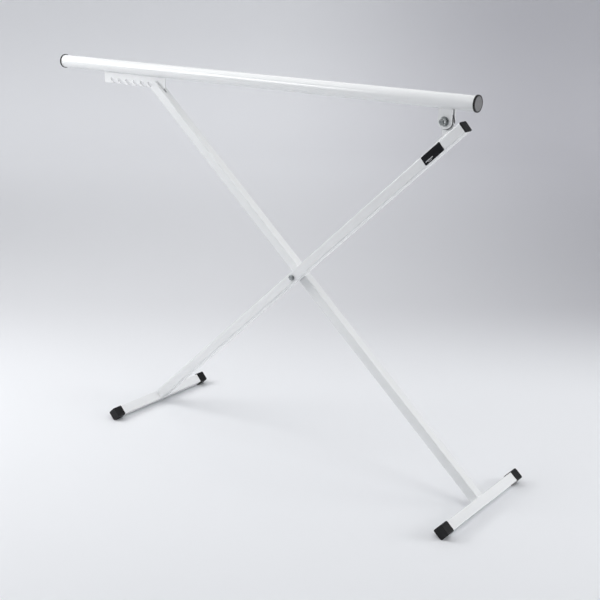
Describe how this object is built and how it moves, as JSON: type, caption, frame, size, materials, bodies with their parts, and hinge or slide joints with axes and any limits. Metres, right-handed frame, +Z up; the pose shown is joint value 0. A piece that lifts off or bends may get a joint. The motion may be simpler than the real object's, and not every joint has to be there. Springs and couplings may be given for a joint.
{
  "type": "portable folding ballet barre",
  "caption": "Free-standing folding ballet barre: crossed square-tube legs on two floor bars carry a round horizontal rail with a slotted height plate.",
  "frame": {"origin": "on the floor, under the middle of the overall footprint, in the plane between the two legs", "axes": "+X along the barre towards the hinged end, +Y across the barre towards the rear leg's side, +Z up"},
  "size_m": [1.5793, 0.4276, 1.061],
  "materials": {
    "white_coat": "satin white powder coat on steel",
    "black_plastic": "moulded black plastic",
    "zinc_steel": "zinc plated",
    "dark_nylon": "dark nylon",
    "label_black": "gloss black, blank",
    "grey_plastic": "satin grey disc in each end of the barre"
  },
  "bodies": {
    "front_leg": {"front_leg_tube": "white_coat", "front_leg_top_cap": "black_plastic", "front_leg_lug": "white_coat", "label_plate": "label_black", "front_foot_tube": "white_coat", "front_foot_cap_near": "black_plastic", "front_foot_cap_far": "black_plastic", "hinge_bolt": "zinc_steel", "hinge_nut": "zinc_steel", "hinge_washers": "zinc_steel", "hinge_thrust_washers": "dark_nylon", "cross_bolt": "zinc_steel", "cross_nut": "zinc_steel", "cross_washers": "zinc_steel", "cross_spacer": "dark_nylon"},
    "rear_leg": {"rear_leg_tube": "white_coat", "rear_catch_pin": "white_coat", "rear_pivot_bush": "zinc_steel", "rear_foot_tube": "white_coat", "rear_foot_cap_near": "black_plastic", "rear_foot_cap_far": "black_plastic"},
    "barre": {"barre_tube": "white_coat", "barre_cap_left": "black_plastic", "barre_cap_right": "black_plastic", "barre_disc_left": "grey_plastic", "barre_disc_right": "grey_plastic", "notch_plate": "white_coat", "hinge_ear_near": "white_coat", "hinge_ear_far": "white_coat"}
  },
  "joints": [
    {"name": "leg_fold", "type": "hinge", "parent": "front_leg", "child": "rear_leg", "pos_m": [0.17477, 0.01675, 0.5241], "axis": [0, 1, 0], "range_deg": [0, 80]},
    {"name": "barre_lift", "type": "hinge", "parent": "front_leg", "child": "barre", "pos_m": [0.607, 0.01675, 0.9915], "axis": [0, 1, 0], "range_deg": [0, 70.1]}
  ],
  "couplings": [
    {"joint": "barre_lift", "follows": "leg_fold", "ratio": 0.87}
  ]
}
